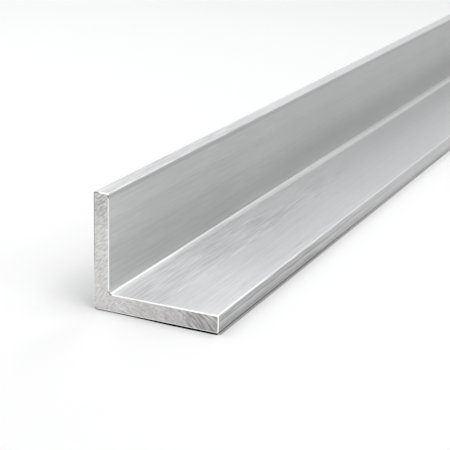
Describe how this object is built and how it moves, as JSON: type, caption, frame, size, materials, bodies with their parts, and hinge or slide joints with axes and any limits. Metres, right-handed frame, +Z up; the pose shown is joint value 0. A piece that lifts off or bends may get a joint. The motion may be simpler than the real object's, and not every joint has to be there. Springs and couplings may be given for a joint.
{
  "type": "metal angle section",
  "caption": "Solid aluminium angle section with unequal legs, square-cut at both ends, for frames, brackets and edge trim.",
  "frame": {"origin": "middle of the flat face that the base leg rests on, half way along the stock", "axes": "+Y along the stock; +X across the base leg, from the heel to its toe; +Z up the upright leg"},
  "size_m": [0.045, 1, 0.04],
  "materials": {
    "mill_aluminium": "mill finish as extruded, with fine lengthwise die lines and sawn ends"
  },
  "bodies": {
    "root": {"angle_section": "mill_aluminium"}
  },
  "joints": []
}
